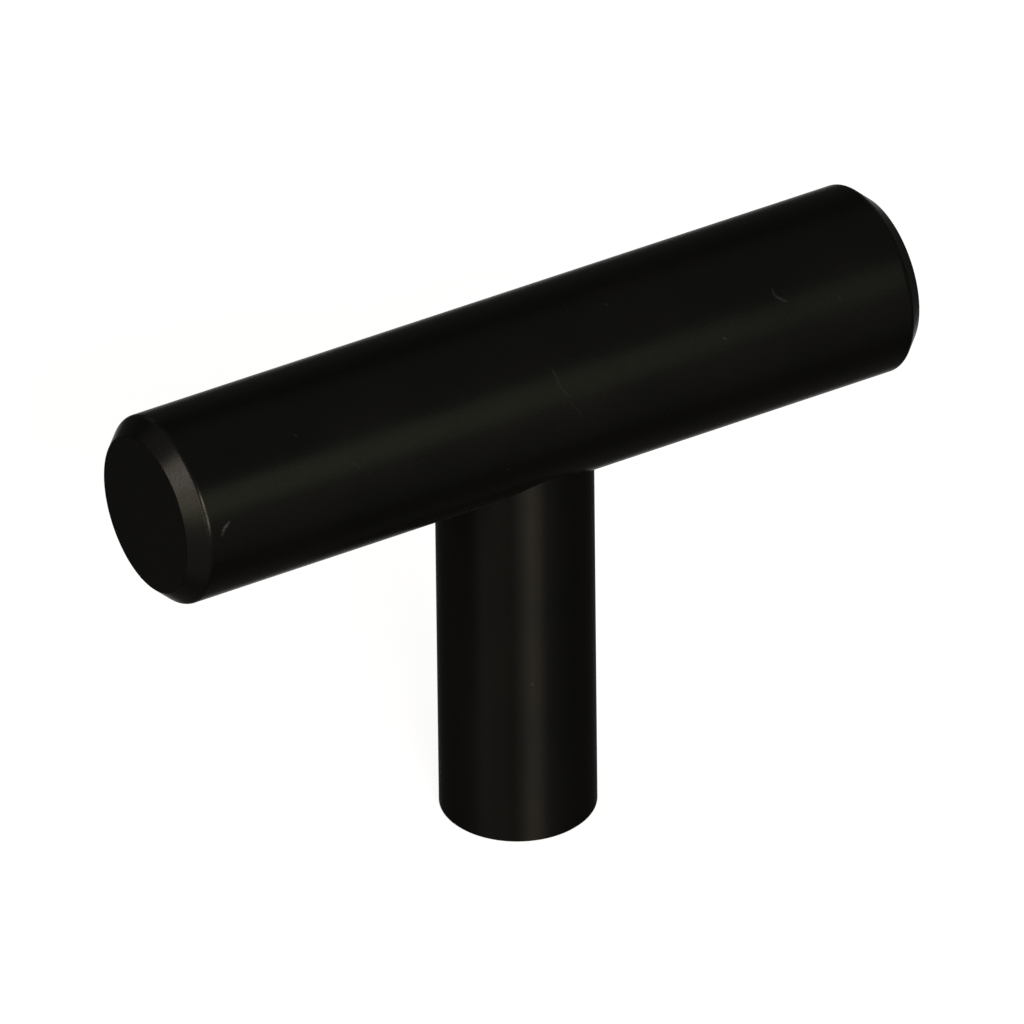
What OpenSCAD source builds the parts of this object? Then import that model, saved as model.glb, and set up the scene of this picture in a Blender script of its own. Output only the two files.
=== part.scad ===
// Cabinet bar pull with a single post: a turned bar lies across the coped end of a round post,
// and a headless stud inside draws the two together. A blind threaded hole in the post's base
// takes the screw that comes through the door or drawer front.
// Millimetres. The origin is the centre of the post's base, +Z runs out along the post and
// +X runs along the bar.

/* [Overall] */
// Distance that the pull stands off the door, from the post's base to the far side of the bar
projection = 35; // [33:0.5:60]

/* [Bar] */
// Diameter of the bar
bar_d = 11.8; // [10:0.1:14]
// Length of the bar from end face to end face
bar_l = 51.2; // [20:0.1:160]
// Length of the end chamfer, measured along the bar
chamfer_l = 1.08; // [0.4:0.02:2]
// Width of the end chamfer, measured across the end face
chamfer_w = 1.02; // [0.4:0.02:2]
// Radius that blends the chamfer into the bar's side
chamfer_blend_r = 0.45; // [0.1:0.05:1]
// Radius on the edge between the chamfer and the end face
face_edge_r = 0.15; // [0.05:0.05:0.4]

/* [Post] */
// Diameter of the post
post_d = 9.6; // [7:0.1:11.6]
// Edge break around the post's base
base_edge = 0.15; // [0.1:0.05:0.8]
// Gap between the post's saddle and the bar that is drawn down on it
saddle_gap = 0; // [0:0.01:0.1]

/* [Mounting thread] */
// Nominal diameter of the thread that takes the door screw
mount_thread_d = 4; // [3:0.5:5]
// Pitch of the mounting thread
mount_pitch = 0.7; // [0.5:0.05:0.8]
// Depth of the mounting hole at its full diameter
mount_depth = 10; // [6:0.5:12]
// Width that the countersink at its mouth leaves around the nominal thread
mouth_margin = 0.2; // [0.05:0.05:0.5]

/* [Joining stud] */
// Nominal diameter of the stud's thread
stud_thread_d = 5; // [4.5:0.5:6]
// Pitch of the stud's thread
stud_pitch = 0.8; // [0.5:0.05:1]
// Length of the stud, half in the post and half in the bar
stud_l = 12; // [8:0.5:14]
// Chamfer on the stud's ends
stud_chamfer = 0.4; // [0.1:0.05:0.5]
// Distance across the flats of the hexagon socket in the stud's lower end
socket_af = 2.5; // [1.5:0.5:3]
// Depth of the hexagon socket
socket_depth = 2.6; // [1:0.2:4]
// Length of each joining hole beyond the end of the stud
stud_runout = 1; // [0.2:0.1:2]
// Radial clearance between the stud and its holes
thread_gap = 0.02; // [0.01:0.01:0.1]

/* [Drilling] */
// Point angle of the drill that made the blind holes
drill_angle = 118; // [90:1:140]

/* [Hidden] */
$fn = 96;
ARC_STEPS = 8;
FINISH_BLACK = [0.06, 0.06, 0.058];
STEEL = [0.62, 0.62, 0.64];
// Share of the pitch by which a metric thread's pitch diameter lies under its nominal diameter
PITCH_DIAMETER_SHARE = 0.6495;

bar_r = bar_d / 2;
post_r = post_d / 2;
bar_z = projection - bar_r;
// Lowest line of the saddle, where the underside of the bar seats
seat_z = bar_z - bar_r;
// A tapping drill leaves the nominal diameter less one pitch
mount_hole_r = (mount_thread_d - mount_pitch) / 2;
mouth_r = mount_thread_d / 2 + mouth_margin;
// The stud and its holes are drawn without threads, at the pitch diameter where the two mesh
stud_r = (stud_thread_d - PITCH_DIAMETER_SHARE * stud_pitch) / 2;
stud_hole_r = stud_r + thread_gap;
stud_hole_depth = stud_l / 2 + stud_runout;
// Cutters run past the face that they enter by this much
overrun = bar_r;

// Turns a point about the origin
function turned(p, angle) =
    [p.x * cos(angle) - p.y * sin(angle), p.x * sin(angle) + p.y * cos(angle)];

// Points of the arc that rounds the corner at b on the path from a to c, kept within half of
// its shorter side
function rounded(a, b, c, r) =
    let (
        side_a = norm(a - b),
        side_c = norm(c - b),
        u = (a - b) / side_a,
        v = (c - b) / side_c,
        half = acos(u * v) / 2,
        arc_r = min(r, min(side_a, side_c) / 2 * tan(half)),
        centre = b + (u + v) / norm(u + v) * arc_r / sin(half),
        start = b + u * arc_r / tan(half) - centre,
        turn = sign(cross(start, -u)) * (180 - 2 * half)
    )
    [for (i = [0:ARC_STEPS]) centre + turned(start, turn * i / ARC_STEPS)];

// Half outline of the bar, as radius and distance along the axis
module bar_outline() {
    end = bar_l / 2;
    face_edge = [bar_r - chamfer_w, end];
    side_edge = [bar_r, end - chamfer_l];
    half_outline = concat(
        [[0, end]],
        rounded([0, end], face_edge, side_edge, face_edge_r),
        rounded(face_edge, side_edge, [bar_r, 0], chamfer_blend_r)
    );
    last = len(half_outline) - 1;
    polygon(concat(half_outline, [for (i = [last:-1:0]) [half_outline[i].x, -half_outline[i].y]]));
}

// Places what stands on the origin along Z on the bar's axis
module on_bar_axis() {
    translate([0, 0, bar_z]) rotate([0, 90, 0]) children();
}

// Cutter for a blind hole that enters the XY plane and runs up along Z to a drill point
module blind_hole(r, depth) {
    point_l = r / tan(drill_angle / 2);
    rotate_extrude() polygon([[0, -overrun], [r, -overrun], [r, depth], [0, depth + point_l]]);
}

// Cutter for the 90 degree countersink at the mouth of a hole in the XY plane
module mouth_countersink(r) {
    rotate_extrude() polygon([[0, -overrun], [r + overrun, -overrun], [0, r]]);
}

module bar() {
    color(FINISH_BLACK) difference() {
        on_bar_axis() rotate_extrude() bar_outline();
        translate([0, 0, seat_z]) blind_hole(stud_hole_r, stud_hole_depth);
    }
}

module post() {
    color(FINISH_BLACK) difference() {
        rotate_extrude() polygon([
            [0, 0], [post_r - base_edge, 0], [post_r, base_edge], [post_r, bar_z], [0, bar_z]
        ]);
        on_bar_axis() cylinder(r = bar_r + saddle_gap, h = 2 * post_d, center = true);
        translate([0, 0, seat_z]) mirror([0, 0, 1]) blind_hole(stud_hole_r, stud_hole_depth);
        blind_hole(mount_hole_r, mount_depth);
        mouth_countersink(mouth_r);
    }
}

module joining_stud() {
    color(STEEL) translate([0, 0, seat_z - stud_l / 2]) difference() {
        rotate_extrude() polygon([
            [0, 0], [stud_r - stud_chamfer, 0], [stud_r, stud_chamfer],
            [stud_r, stud_l - stud_chamfer], [stud_r - stud_chamfer, stud_l], [0, stud_l]
        ]);
        translate([0, 0, -overrun])
            cylinder(d = socket_af / cos(30), h = overrun + socket_depth, $fn = 6);
    }
}

bar();
post();
joining_stud();
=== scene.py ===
"""Looks of a single-post cabinet bar pull: satin black bar and post, bright steel stud inside."""

import math

import bmesh
import bpy
from mathutils import Matrix, Vector


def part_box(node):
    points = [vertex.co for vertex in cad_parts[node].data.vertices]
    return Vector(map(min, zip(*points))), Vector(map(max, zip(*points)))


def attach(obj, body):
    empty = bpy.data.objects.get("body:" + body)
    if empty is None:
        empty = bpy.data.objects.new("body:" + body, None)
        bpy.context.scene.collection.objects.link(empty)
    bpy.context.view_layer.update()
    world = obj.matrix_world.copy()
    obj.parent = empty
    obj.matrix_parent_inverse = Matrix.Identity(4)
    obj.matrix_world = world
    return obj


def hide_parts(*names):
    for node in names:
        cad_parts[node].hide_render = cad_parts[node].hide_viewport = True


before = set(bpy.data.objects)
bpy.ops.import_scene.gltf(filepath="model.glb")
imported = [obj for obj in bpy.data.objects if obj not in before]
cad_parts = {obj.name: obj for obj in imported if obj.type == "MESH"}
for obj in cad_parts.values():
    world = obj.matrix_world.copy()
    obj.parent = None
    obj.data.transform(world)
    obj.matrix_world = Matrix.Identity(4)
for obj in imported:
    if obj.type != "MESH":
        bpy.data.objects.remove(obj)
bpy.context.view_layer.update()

MM = 0.001

# Sizes that the frame gives
bar_low, bar_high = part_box("bar")
stud_low, stud_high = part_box("joining_stud")
BAR_R = (bar_high.z - bar_low.z) / 2
BAR_HALF_L = bar_high.x
BAR_Z = (bar_high.z + bar_low.z) / 2
POST_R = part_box("post")[1].x
SEAT_Z = bar_low.z

# Edges of the bar and the post
CHAMFER_L = 1.08 * MM
CHAMFER_W = 1.02 * MM
CHAMFER_BLEND_R = 0.45 * MM
FACE_EDGE_R = 0.15 * MM
BASE_EDGE = 0.15 * MM
BASE_EDGE_R = 0.07 * MM

# Threads and the holes that they are cut in
MOUNT_THREAD_R = 2.0 * MM
MOUNT_PITCH = 0.7 * MM
MOUNT_HOLE_R = 1.65 * MM
MOUNT_DEPTH = 10 * MM
MOUTH_R = 2.2 * MM
STUD_THREAD_R = 2.5 * MM
STUD_PITCH = 0.8 * MM
STUD_CLEARANCE = 0.02 * MM
STUD_END_STEP = 0.1 * MM
STUD_HOLE_DEPTH = 7 * MM
STUD_HOLE_OVERRUN = 1.2 * MM
SOCKET_AF = 2.5 * MM
SOCKET_DEPTH = 2.6 * MM
SOCKET_POINT = 0.3 * MM
DRILL_ANGLE = math.radians(118)
# Depths of a metric thread in a hole and on a stud, as shares of its pitch
HOLE_THREAD_DEPTH = 1.0825 / 2
STUD_THREAD_DEPTH = 1.2269 / 2
# Corners of a thread's flats, as shares of its pitch and its depth. The flat at the wall is a quarter
# of the pitch wide, and the one at full depth an eighth
THREAD_CORNERS = ((1 / 16, 1), (3 / 8, 0), (5 / 8, 0), (15 / 16, 1))
# Share of a pitch over which a thread fades out at its ends
THREAD_FADE = 0.6

# Mesh resolution: points round the bar and the post, and round a stud's thread
AROUND = 288
STUD_AROUND = AROUND // 3
ARC_STEPS = 10
SADDLE_RINGS = 24
# Rings of points that keep the faces at the stud's hole and at the saddle small
RING_BESIDE_HOLE = 4 * STUD_THREAD_R / 3
RING_UNDER_SADDLE = 1 * MM
# Points this far from a rounded edge keep its shading off the surfaces beside it
SUPPORT = 0.03 * MM
WELD = 0.2e-3 * MM
SHARP_ANGLE = math.radians(25)


def clamp(value, low, high):
    return max(low, min(high, value))


def rounded(a, b, c, radius):
    """Points of the arc that rounds the corner at b on the path from a to c, and one beyond each end."""
    a, b, c = Vector(a), Vector(b), Vector(c)
    u, v = (a - b).normalized(), (c - b).normalized()
    half = u.angle(v) / 2
    centre = b + (u + v).normalized() * radius / math.sin(half)
    reach = radius / math.tan(half)
    start = b + u * reach - centre
    turn = math.copysign(math.pi - 2 * half, start.x * -u.y + start.y * u.x)
    arc = []
    for i in range(ARC_STEPS + 1):
        angle = turn * i / ARC_STEPS
        spoke = (start.x * math.cos(angle) - start.y * math.sin(angle),
                 start.x * math.sin(angle) + start.y * math.cos(angle))
        arc.append(centre + Vector(spoke))
    return [b + u * (reach + SUPPORT), *arc, b + v * (reach + SUPPORT)]


def round_axis(radius, angle, z):
    return (radius * math.cos(angle), radius * math.sin(angle), z)


def level_row(radius, z, count):
    """One ring of points round the Z axis. radius and z may be functions of the angle."""
    row = []
    for j in range(count + 1):
        angle = math.tau * j / count
        r = radius(angle) if callable(radius) else radius
        h = z(angle) if callable(z) else z
        row.append(round_axis(r, angle, h))
    return row


def thread_rows(wall_r, far_r, z_from, z_to, pitch, count):
    """Rows that follow a right-hand helix between two heights, from the wall's radius to far_r.

    A pitch has four rows, at the corners of the thread's flats. Threads of one pitch are in step, so
    that they mesh. Each fades out at both ends, and a level row closes its lower end."""
    low, high = min(z_from, z_to), max(z_from, z_to)
    rows = [level_row(wall_r, low, count)]
    for turn in range(math.floor(low / pitch) - 1, math.ceil(high / pitch) + 1):
        for phase, depth in THREAD_CORNERS:
            row = []
            for j in range(count + 1):
                z = clamp(pitch * (turn + phase + j / count), low, high)
                fade = clamp(min(z - low, high - z) / (THREAD_FADE * pitch), 0, 1)
                r = wall_r + (far_r - wall_r) * depth * fade
                row.append(round_axis(r, math.tau * j / count, z))
            rows.append(row)
    return rows if z_from < z_to else rows[::-1]


def weld(bm):
    """Joins points that lie on each other, and drops the faces without an area that this leaves."""
    bmesh.ops.remove_doubles(bm, verts=bm.verts, dist=WELD)
    bmesh.ops.dissolve_degenerate(bm, edges=bm.edges, dist=WELD)


def skin(name, rows, turn=None):
    """Closed mesh through rows of points, whose first and last rows are single points."""
    mesh = bpy.data.meshes.new(name)
    bm = bmesh.new()
    grid = [[bm.verts.new(p) for p in row] for row in rows]
    for lower, upper in zip(grid, grid[1:]):
        count = max(len(lower), len(upper)) - 1
        for j in range(count):
            corners = [lower[min(j, len(lower) - 1)], lower[min(j + 1, len(lower) - 1)],
                       upper[min(j + 1, len(upper) - 1)], upper[min(j, len(upper) - 1)]]
            bm.faces.new(dict.fromkeys(corners))
    weld(bm)
    bmesh.ops.recalc_face_normals(bm, faces=bm.faces)
    if turn:
        bmesh.ops.transform(bm, matrix=turn, verts=bm.verts)
    bm.to_mesh(mesh)
    bm.free()
    obj = bpy.data.objects.new(name, mesh)
    bpy.context.scene.collection.objects.link(obj)
    return obj


def smooth(obj):
    """Smooth shading, with sharp edges where the faces turn by more than SHARP_ANGLE."""
    bm = bmesh.new()
    bm.from_mesh(obj.data)
    for face in bm.faces:
        face.smooth = True
    for edge in bm.edges:
        edge.smooth = len(edge.link_faces) == 2 and edge.calc_face_angle() < SHARP_ANGLE
    bm.to_mesh(obj.data)
    bm.free()


def drill_tip(radius):
    """Length of the cone that the drill leaves at the end of a hole."""
    return radius / math.tan(DRILL_ANGLE / 2)


def bore_for_stud(piece, end):
    """Cuts the tapped hole for the stud into a piece, from the seat up or down to its blind end."""
    wall_r = STUD_THREAD_R - HOLE_THREAD_DEPTH * STUD_PITCH
    onward = math.copysign(1, end - SEAT_Z)
    start = SEAT_Z - onward * STUD_HOLE_OVERRUN
    cutter = skin("stud_hole_cutter", [
        [(0, 0, start)],
        *thread_rows(wall_r, STUD_THREAD_R, start, end, STUD_PITCH, STUD_AROUND),
        [(0, 0, end + onward * drill_tip(wall_r))],
    ])
    cut = piece.modifiers.new("stud_hole", "BOOLEAN")
    cut.operation = "DIFFERENCE"
    cut.solver = "EXACT"
    cut.object = cutter
    depsgraph = bpy.context.evaluated_depsgraph_get()
    bm = bmesh.new()
    bm.from_mesh(piece.evaluated_get(depsgraph).data)
    weld(bm)
    # Points along a straight edge would leave slivers where the faces are split into triangles
    bmesh.ops.dissolve_verts(bm, verts=[vert for vert in bm.verts if len(vert.link_edges) == 2])
    bm.to_mesh(piece.data)
    bm.free()
    piece.modifiers.clear()
    piece.data.materials.clear()
    bpy.data.objects.remove(cutter)


def bar_outline():
    """Half outline of the bar from one end of its axis to the other, as radius and place."""
    face_edge = (BAR_R - CHAMFER_W, BAR_HALF_L)
    side_edge = (BAR_R, BAR_HALF_L - CHAMFER_L)
    end = [Vector((0, BAR_HALF_L)),
           *rounded((0, BAR_HALF_L), face_edge, side_edge, FACE_EDGE_R),
           *rounded(face_edge, side_edge, (BAR_R, 0), CHAMFER_BLEND_R)]
    middle = [Vector((BAR_R, x)) for x in (RING_BESIDE_HOLE, -RING_BESIDE_HOLE)]
    return end + middle + [Vector((p.x, -p.y)) for p in reversed(end)]


def make_bar():
    outline = bar_outline()
    rows = [
        [(0, 0, outline[0].y)],
        *(level_row(p.x, p.y, AROUND) for p in outline[1:-1]),
        [(0, 0, outline[-1].y)],
    ]
    on_axis = Matrix.Translation((0, 0, BAR_Z)) @ Matrix.Rotation(math.pi / 2, 4, "Y")
    bar = skin("bar_turned", rows, on_axis)
    bore_for_stud(bar, SEAT_Z + STUD_HOLE_DEPTH)
    return bar


def saddle_z(radius):
    """Height of the saddle over a circle round the post's axis, as a function of the angle."""
    return lambda angle: BAR_Z - math.sqrt(BAR_R ** 2 - (radius * math.sin(angle)) ** 2)


def make_post():
    thread_start = MOUTH_R - MOUNT_HOLE_R
    base_in, base_out = (POST_R - BASE_EDGE, 0), (POST_R, BASE_EDGE)
    base = [*rounded((MOUTH_R, 0), base_in, base_out, BASE_EDGE_R),
            *rounded(base_in, base_out, (POST_R, SEAT_Z), BASE_EDGE_R)]
    inward = [POST_R * i / SADDLE_RINGS for i in range(SADDLE_RINGS - 1, 0, -1)]
    rows = [
        [(0, 0, MOUNT_DEPTH + drill_tip(MOUNT_HOLE_R))],
        *thread_rows(MOUNT_HOLE_R, MOUNT_THREAD_R, MOUNT_DEPTH, thread_start, MOUNT_PITCH, AROUND),
        level_row(MOUTH_R, 0, AROUND),
        *(level_row(p.x, p.y, AROUND) for p in base),
        level_row(POST_R, SEAT_Z - RING_UNDER_SADDLE, AROUND),
        *(level_row(r, saddle_z(r), AROUND) for r in (POST_R, POST_R - SUPPORT, *inward)),
        [(0, 0, SEAT_Z)],
    ]
    post = skin("post_turned", rows)
    bore_for_stud(post, SEAT_Z - STUD_HOLE_DEPTH)
    return post


def hexagon(angle):
    """Radius of the hexagon socket at an angle."""
    sixth = math.pi / 3
    return SOCKET_AF / 2 / math.cos((angle + sixth / 2) % sixth - sixth / 2)


def make_stud():
    root_r = STUD_THREAD_R - STUD_THREAD_DEPTH * STUD_PITCH
    crest_r = STUD_THREAD_R - STUD_CLEARANCE
    end_r = root_r - STUD_END_STEP
    low, high = stud_low.z, stud_high.z
    thread_low, thread_high = low + STUD_END_STEP, high - STUD_END_STEP
    rows = [
        [(0, 0, low + SOCKET_DEPTH + SOCKET_POINT)],
        level_row(hexagon, low + SOCKET_DEPTH, STUD_AROUND),
        level_row(hexagon, low, STUD_AROUND),
        level_row(end_r, low, STUD_AROUND),
        *thread_rows(root_r, crest_r, thread_low, thread_high, STUD_PITCH, STUD_AROUND),
        level_row(end_r, high, STUD_AROUND),
        [(0, 0, high)],
    ]
    return skin("joining_stud_threaded", rows)


# Black coat: distances in a material are in millimetres
BLACK = (0.0036, 0.0036, 0.0035, 1)
DUSTY_BLACK = (0.0042, 0.0041, 0.0039, 1)
# Lighter black for the bar's chamfers: a painted reflection that stands in for light on their lower part
PAINTED_REFLECTION_BLACK = (0.0058, 0.0057, 0.0053, 1)
SCUFF = (0.055, 0.052, 0.048, 1)
COAT_METALLIC = 0.97
# The coat's reflection is weaker at a grazing angle, which keeps the flanks dark
COAT_FLANK_TINT = (0.25, 0.25, 0.25, 1)
COAT_SHEEN = 0.003
BAR_ROUGHNESS = 0.283
POST_ROUGHNESS = 0.42
POST_ANISOTROPY = 0.9
ROUGHNESS_SPREAD = 0.02
QUARTER_TURN = 0.25
GRAIN_PER_MM = 7
GRAIN_DETAIL = 2
GRAIN_DEPTH = 0.0011
SMUDGE_PER_MM = 0.16
# Values of the smudges' noise at which the coat is all black and all dusty
SMUDGE_RANGE = (0.35, 0.65)
# Range in which most of a noise lies
NOISE_RANGE = (0.3, 0.7)

# Lathe marks: how many there are in a millimetre, how deep they are, and how fast they change across
# the axis, as a share of how fast they change along it
TURNING_PER_MM = 5
TURNING_DEPTH = 0.0005
TURNING_DRIFT = 0.05

# The bar's chamfers get a lighter colour, so that they reflect more: a painted reflection that stands in
# for light on their lower part.
# It starts between these two distances from the chamfer's outer edge, counted away from the end, and
# within the third distance of the inner edge
REFLECTION_START, REFLECTION_END = 0.06, -0.08
REFLECTION_INNER_FADE = 0.05

# Steel of the stud
STEEL = (0.50, 0.51, 0.52, 1)
DULL_STEEL = (0.36, 0.36, 0.36, 1)
STEEL_ROUGHNESS = (0.28, 0.42)
STEEL_PATCHES_PER_MM = 1
STEEL_MARK_DEPTH = 0.002

# Small scuffs and dust on the finish. Each has its start and end, as millimetres along the axis and
# degrees round it, its half width in millimetres and its strength
BAR_SCUFFS = (
    ((-23.10, 16.8), (-23.28, 15.5), 0.11, 0.20),
    ((-23.28, 15.5), (-23.45, 14.4), 0.13, 0.42),
    ((-23.45, 14.4), (-23.57, 12.9), 0.13, 0.34),
    ((-23.57, 12.9), (-23.68, 10.6), 0.12, 0.17),
    ((15.70, 45.9), (15.68, 43.6), 0.11, 0.09),
    ((15.68, 43.6), (15.80, 41.4), 0.11, 0.12),
    ((15.80, 41.4), (16.00, 39.6), 0.12, 0.15),
    ((16.00, 39.6), (16.26, 37.4), 0.12, 0.09),
    ((0.09, 42.0), (0.21, 37.7), 0.08, 0.09),
    ((0.21, 37.7), (0.31, 30.1), 0.08, 0.04),
    ((0.31, 30.1), (0.64, 24.0), 0.08, 0.03),
    ((0.67, 20.5), (1.27, 11.3), 0.08, 0.04),
    ((-0.51, 7.8), (-0.32, 5.9), 0.08, 0.03),
    ((1.98, 5.3), (2.18, 3.3), 0.08, 0.03),
    ((-14.31, 27.4), (-13.89, 22.6), 0.08, 0.03),
    ((5.31, 70.6), (5.38, 69.6), 0.09, 0.13),
    ((11.60, 28.3), (11.71, 27.4), 0.09, 0.12),
    ((-17.27, 53.3), (-17.18, 52.4), 0.09, 0.10),
    ((19.72, 29.4), (19.83, 28.5), 0.09, 0.06),
    ((-3.91, -9.0), (-3.81, -10.3), 0.09, 0.07),
    ((4.86, -23.1), (4.96, -25.0), 0.09, 0.14),
)
POST_SCUFFS = (
    ((19.00, -32.6), (18.94, -31.8), 0.08, 0.07),
    ((11.36, -19.8), (11.28, -19.0), 0.08, 0.10),
)
# Share of its half width over which a scuff has its full strength
SCUFF_CORE = 1 / 3


def plug(tree, value, socket):
    """Gives a socket a constant, or links another node's output to it."""
    if isinstance(value, bpy.types.NodeSocket):
        tree.links.new(value, socket)
    else:
        socket.default_value = value


def add_node(tree, kind, **sockets):
    """New node, with the values of its sockets. A socket's name has underscores for its spaces."""
    made = tree.nodes.new(kind)
    for name, value in sockets.items():
        plug(tree, value, made.inputs[name.replace("_", " ")])
    return made


def number(tree, operation, *values):
    """Output of a Math node."""
    made = tree.nodes.new("ShaderNodeMath")
    made.operation = operation
    for value, socket in zip(values, made.inputs):
        plug(tree, value, socket)
    return made.outputs[0]


def vector(tree, operation, *values):
    """Output of a Vector Math node, which is a number for some operations."""
    made = tree.nodes.new("ShaderNodeVectorMath")
    made.operation = operation
    for value, socket in zip(values, made.inputs):
        plug(tree, value, socket)
    return made.outputs["Value" if operation in ("DOT_PRODUCT", "LENGTH", "DISTANCE") else "Vector"]


def joined(tree, x, y, z=0):
    """Vector of three numbers, each a constant or an output."""
    return add_node(tree, "ShaderNodeCombineXYZ", X=x, Y=y, Z=z).outputs[0]


def noise(tree, place, per_mm, detail=3):
    """Noise from 0 to 1 with about that many features in a millimetre."""
    made = add_node(tree, "ShaderNodeTexNoise", Vector=place, Scale=per_mm, Detail=detail)
    return made.outputs["Fac"]


def ramp(tree, value, low, high, to_low=0, to_high=1):
    """The value from low to high, spread from to_low to to_high and kept between them."""
    return add_node(tree, "ShaderNodeMapRange", Value=value, From_Min=low, From_Max=high,
                    To_Min=to_low, To_Max=to_high).outputs["Result"]


def blend(tree, share, colour_a, colour_b):
    """Colour between two others, each a constant or an output."""
    mix = tree.nodes.new("ShaderNodeMix")
    mix.data_type = "RGBA"
    for value, index in ((share, 0), (colour_a, 6), (colour_b, 7)):
        plug(tree, value, mix.inputs[index])
    return mix.outputs[2]


def bump(tree, height):
    """Normal of a surface whose height is in millimetres."""
    return add_node(tree, "ShaderNodeBump", Height=height, Strength=1, Distance=MM).outputs["Normal"]


def new_material(name):
    """Material and its node tree, with a Principled shader in it."""
    material = bpy.data.materials.new(name)
    material.use_nodes = True
    return material, material.node_tree


def give(tree, values):
    """Sets or links the named sockets of a material's Principled shader."""
    shader = tree.nodes["Principled BSDF"]
    for name, value in values.items():
        plug(tree, value, shader.inputs[name])


def millimetres(tree):
    """Place on the object in millimetres, from its own origin."""
    place = tree.nodes.new("ShaderNodeTexCoord").outputs["Object"]
    return vector(tree, "MULTIPLY", place, (1 / MM, 1 / MM, 1 / MM))


def from_axis(tree, place, axis, height):
    """Place along an axis that lies at a height, one of those across it, and the distance from it."""
    x, y, z = add_node(tree, "ShaderNodeSeparateXYZ", Vector=place).outputs
    z = number(tree, "SUBTRACT", z, height / MM)
    along, across, other = (x, y, z) if axis == "X" else (z, x, y)
    return along, across, vector(tree, "LENGTH", joined(tree, across, other))


def turning(tree, place, axis, height):
    """Fine marks that a lathe leaves: rings round the axis, and circles on the end faces."""
    along, across, radius = from_axis(tree, place, axis, height)
    rings = joined(tree, along, radius, number(tree, "MULTIPLY", across, TURNING_DRIFT))
    return noise(tree, rings, TURNING_PER_MM)


def surface_point(axis, along, around):
    """Point on the bar or the post, from millimetres along its axis and degrees round it."""
    angle = math.radians(around)
    if axis == "X":
        return Vector((along, -BAR_R * math.cos(angle) / MM, (BAR_Z + BAR_R * math.sin(angle)) / MM))
    return Vector((POST_R * math.sin(angle) / MM, -POST_R * math.cos(angle) / MM, along))


def near_segment(tree, place, start, end, half_width):
    """1 on the straight line between two points, falling to 0 at the half width."""
    run = end - start
    from_start = vector(tree, "SUBTRACT", place, start)
    dot = vector(tree, "DOT_PRODUCT", from_start, run)
    share = ramp(tree, number(tree, "MULTIPLY", dot, 1 / run.length_squared), 0, 1)
    along = vector(tree, "MULTIPLY", joined(tree, share, share, share), run)
    distance = vector(tree, "DISTANCE", from_start, along)
    return ramp(tree, distance, half_width, half_width * SCUFF_CORE)


def scuffs(tree, place, axis, listed):
    """Strongest scuff at each place."""
    strongest = None
    for start, end, half_width, strength in listed:
        ends = [surface_point(axis, *point) for point in (start, end)]
        line = number(tree, "MULTIPLY", near_segment(tree, place, *ends, half_width), strength)
        strongest = number(tree, "MAXIMUM", strongest, line) if strongest else line
    return strongest


def on_chamfers(tree, place):
    """1 on the bar's end chamfers, else 0."""
    along, _, radius = from_axis(tree, place, "X", BAR_Z)
    from_end = number(tree, "SUBTRACT", BAR_HALF_L / MM, number(tree, "ABSOLUTE", along))
    outer, inner = CHAMFER_L / MM, (BAR_R - CHAMFER_W) / MM
    near_end = ramp(tree, from_end, outer + REFLECTION_START, outer + REFLECTION_END)
    off_face = ramp(tree, radius, inner - REFLECTION_INNER_FADE, inner + REFLECTION_INNER_FADE)
    return number(tree, "MULTIPLY", near_end, off_face)


def black_finish(name, axis, height, roughness, anisotropy, listed, painted_reflection=None):
    """Satin black coat over a turned surface, whose marks spread a highlight along the axis.
    painted_reflection, if given, tells where the colour is lighter: a painted reflection."""
    material, tree = new_material(name)
    place = millimetres(tree)
    grain = noise(tree, place, GRAIN_PER_MM, GRAIN_DETAIL)
    smudge = noise(tree, place, SMUDGE_PER_MM)
    colour = blend(tree, ramp(tree, smudge, *SMUDGE_RANGE), BLACK, DUSTY_BLACK)
    if painted_reflection:
        # Lighter colour on the chamfers: a painted reflection
        colour = blend(tree, painted_reflection(tree, place), colour, PAINTED_REFLECTION_BLACK)
    low, high = roughness - ROUGHNESS_SPREAD, roughness + ROUGHNESS_SPREAD
    smudged = ramp(tree, smudge, *NOISE_RANGE, low, high)
    grained = ramp(tree, grain, *NOISE_RANGE, -ROUGHNESS_SPREAD, ROUGHNESS_SPREAD)
    marks = number(tree, "MULTIPLY", turning(tree, place, axis, height), TURNING_DEPTH)
    tangent = tree.nodes.new("ShaderNodeTangent")
    tangent.direction_type = "RADIAL"
    tangent.axis = axis
    give(tree, {
        "Base Color": blend(tree, scuffs(tree, place, axis, listed), colour, SCUFF),
        "Roughness": number(tree, "ADD", smudged, grained),
        "Normal": bump(tree, number(tree, "ADD", number(tree, "MULTIPLY", grain, GRAIN_DEPTH), marks)),
        "Metallic": COAT_METALLIC,
        "Specular Tint": COAT_FLANK_TINT,
        "Sheen Weight": COAT_SHEEN,
        "Anisotropic": anisotropy,
        "Anisotropic Rotation": QUARTER_TURN,
        "Tangent": tangent.outputs["Tangent"],
    })
    return material


def steel_finish(name):
    """Bare cut steel, with the marks of the tool round the axis."""
    material, tree = new_material(name)
    place = millimetres(tree)
    rings = turning(tree, place, "Z", 0)
    patches = noise(tree, place, STEEL_PATCHES_PER_MM)
    give(tree, {
        "Base Color": blend(tree, ramp(tree, rings, *NOISE_RANGE), STEEL, DULL_STEEL),
        "Roughness": ramp(tree, patches, *NOISE_RANGE, *STEEL_ROUGHNESS),
        "Normal": bump(tree, number(tree, "MULTIPLY", rings, STEEL_MARK_DEPTH)),
        "Metallic": 1,
    })
    return material


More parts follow.
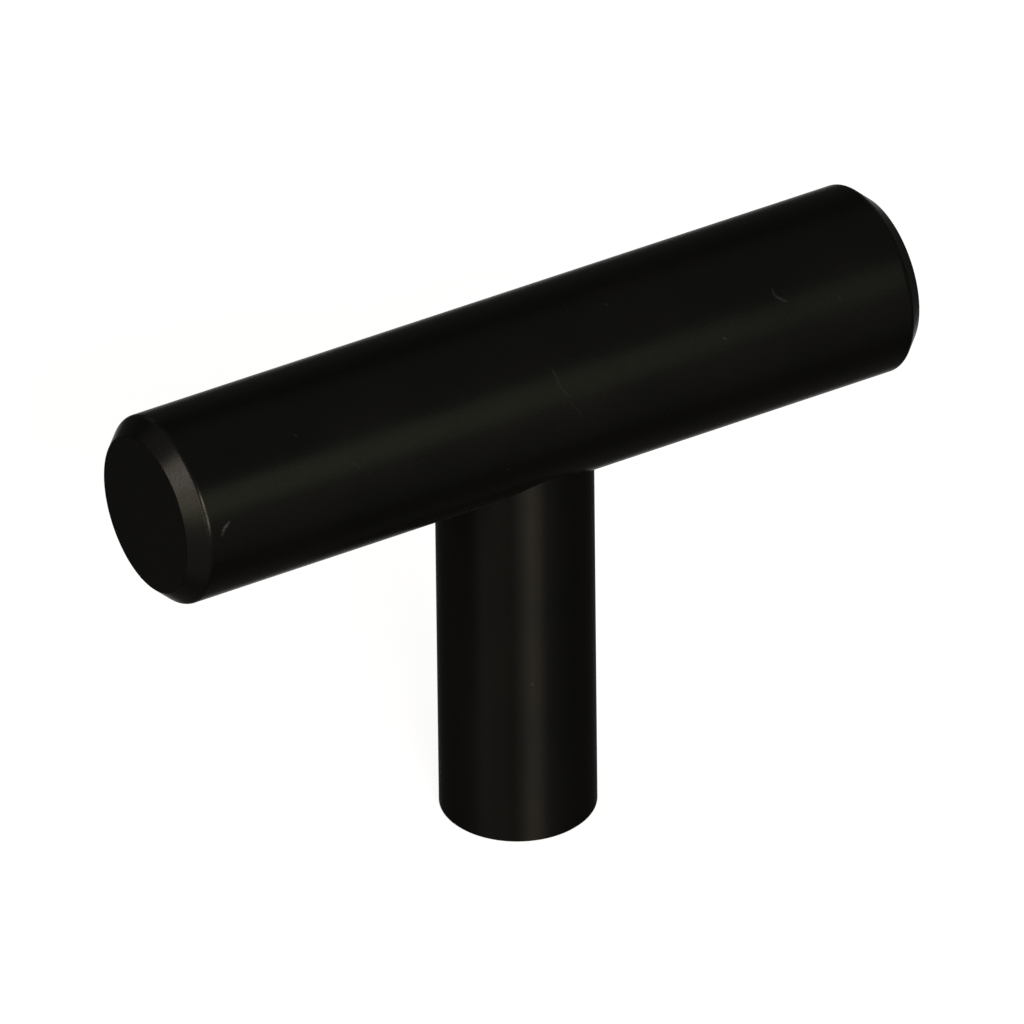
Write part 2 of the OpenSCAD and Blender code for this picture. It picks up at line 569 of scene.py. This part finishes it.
# Camera, fitted to the outlines of the bar and the post
CAMERA_AZIMUTH = math.radians(-30.746)
CAMERA_ELEVATION = math.radians(32.598)
CAMERA_ROLL = math.radians(-0.654)
CAMERA_DISTANCE = 1.662
CAMERA_LENS = 973.1
CAMERA_SENSOR = 36
CAMERA_NEAR, CAMERA_FAR = 0.01, 20
LOOK_AT_Z = 0.0218
LOOK_RIGHT = -0.162 * MM
LOOK_UP = -0.981 * MM


def direction(azimuth, elevation):
    """Unit vector from the object. Azimuth 0 is in front, towards -Y, and turns towards +X."""
    return Vector((math.sin(azimuth) * math.cos(elevation),
                   -math.cos(azimuth) * math.cos(elevation),
                   math.sin(elevation)))


def level_right(azimuth):
    """Unit vector to the right for one who looks at the object from that azimuth."""
    return Vector((math.cos(azimuth), math.sin(azimuth), 0))


def facing(right, up, back):
    """Turn of an object that looks along -back."""
    return Matrix((right, up, back)).transposed().to_4x4()


def make_camera():
    back = direction(CAMERA_AZIMUTH, CAMERA_ELEVATION)
    level = level_right(CAMERA_AZIMUTH)
    right = level * math.cos(CAMERA_ROLL) + back.cross(level) * math.sin(CAMERA_ROLL)
    up = back.cross(right)
    data = bpy.data.cameras.new("camera")
    data.lens = CAMERA_LENS
    data.sensor_width = CAMERA_SENSOR
    data.clip_start = CAMERA_NEAR
    data.clip_end = CAMERA_FAR
    camera = bpy.data.objects.new("camera", data)
    bpy.context.scene.collection.objects.link(camera)
    eye = Vector((0, 0, LOOK_AT_Z)) + right * LOOK_RIGHT + up * LOOK_UP + back * CAMERA_DISTANCE
    camera.matrix_world = Matrix.Translation(eye) @ facing(right, up, back)
    bpy.context.scene.camera = camera


# Floor: half its width, and the share of pure white in what the camera and reflections see of it
WHITE = (1, 1, 1, 1)
FLOOR_WHITE = (0.84, 0.85, 0.88, 1)
FLOOR_HALF = 3
FLOOR_DROP = 0.01 * MM
FLOOR_GLOW = 0.85
# Level at which the white world lights the object
FILL = 0.5


def seen_directly(tree):
    """1 for what the camera sees directly, in a reflection or through glass, else 0."""
    path = tree.nodes.new("ShaderNodeLightPath").outputs
    seen = number(tree, "MAXIMUM", path["Is Camera Ray"], path["Is Glossy Ray"])
    return number(tree, "MAXIMUM", seen, path["Is Transmission Ray"])


def make_floor():
    mesh = bpy.data.meshes.new("floor")
    signs = ((-1, -1), (1, -1), (1, 1), (-1, 1))
    corners = [(FLOOR_HALF * x, FLOOR_HALF * y, 0) for x, y in signs]
    mesh.from_pydata(corners, [], [(0, 1, 2, 3)])
    floor = bpy.data.objects.new("floor", mesh)
    floor.location.z = -FLOOR_DROP
    bpy.context.scene.collection.objects.link(floor)
    material, tree = new_material("floor_white")
    tree.nodes.clear()
    output = tree.nodes.new("ShaderNodeOutputMaterial")
    paint = add_node(tree, "ShaderNodeBsdfDiffuse", Color=FLOOR_WHITE)
    glow = add_node(tree, "ShaderNodeEmission", Color=WHITE, Strength=1)
    share = number(tree, "MULTIPLY", seen_directly(tree), FLOOR_GLOW)
    mix = tree.nodes.new("ShaderNodeMixShader")
    for value, socket in zip((share, paint.outputs[0], glow.outputs[0]), mix.inputs):
        plug(tree, value, socket)
    tree.links.new(mix.outputs[0], output.inputs["Surface"])
    mesh.materials.append(material)


def make_world():
    world = bpy.data.worlds.new("white_studio")
    bpy.context.scene.world = world
    world.use_nodes = True
    tree = world.node_tree
    background = tree.nodes["Background"]
    plug(tree, WHITE, background.inputs["Color"])
    plug(tree, ramp(tree, seen_directly(tree), 0, 1, FILL, 1), background.inputs["Strength"])


# Metres from the middle of the bar to each softbox
LAMP_DISTANCE = 0.6
# Azimuth, elevation, roll and the angles that each spans across and upward, all in degrees, then its
# level and its colour
SOFTBOXES = {
    "key_high": (-83, 30.4, -22, 35, 5.5, 0.52, (1, 0.88, 0.80)),
    "key_low": (-56, 10, -41, 32, 6.5, 0.34, (1, 0.96, 0.68)),
    "key_side": (-76, 4, 0, 14, 6, 0.15, (1, 0.96, 0.80)),
    "front_low": (-5.5, 6.8, 0, 22, 13, 1.15, (1, 0.86, 0.68)),
    "front_right": (22, 23, -12, 6, 28, 0.135, (0.84, 1, 0.58)),
    "front_high": (-16, 27.3, 0, 22, 14, 1.6, (1, 0.86, 0.68)),
    "rear": (180, 25, 0, 34, 10, 0.25, (1, 0.95, 0.88)),
    "rear_right": (122, 25, 0, 30, 10, 0.25, (1, 0.95, 0.88)),
}


def softbox(name, azimuth, elevation, roll, across, upward, level, colour):
    """Rectangular lamp that faces the object. At level 1 a white card that faces it renders white."""
    azimuth, elevation, roll = map(math.radians, (azimuth, elevation, roll))
    across, upward = map(math.radians, (across, upward))
    data = bpy.data.lights.new(name, "AREA")
    data.shape = "RECTANGLE"
    data.size = 2 * LAMP_DISTANCE * math.tan(across / 2)
    data.size_y = 2 * LAMP_DISTANCE * math.tan(upward / 2)
    data.energy = level * (math.pi * LAMP_DISTANCE) ** 2
    data.color = colour
    lamp = bpy.data.objects.new(name, data)
    bpy.context.scene.collection.objects.link(lamp)
    towards = direction(azimuth, elevation)
    side = level_right(azimuth)
    place = Matrix.Translation(Vector((0, 0, BAR_Z)) + towards * LAMP_DISTANCE)
    turn = facing(side, towards.cross(side), towards) @ Matrix.Rotation(roll, 4, "Z")
    lamp.matrix_world = place @ turn
    lamp.visible_camera = False


bar = make_bar()
post = make_post()
stud = make_stud()
for piece, part in ((bar, "bar"), (post, "post"), (stud, "joining_stud")):
    smooth(piece)
    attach(piece, "root")
    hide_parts(part)
bar.data.materials.append(
    black_finish("bar_black", "X", BAR_Z, BAR_ROUGHNESS, 0, BAR_SCUFFS, on_chamfers))
post.data.materials.append(
    black_finish("post_black", "Z", 0, POST_ROUGHNESS, POST_ANISOTROPY, POST_SCUFFS))
stud.data.materials.append(steel_finish("cut_steel"))

make_camera()
make_floor()
make_world()
for lamp_name, settings in SOFTBOXES.items():
    softbox(lamp_name, *settings)
bpy.context.scene.view_settings.view_transform = "Standard"
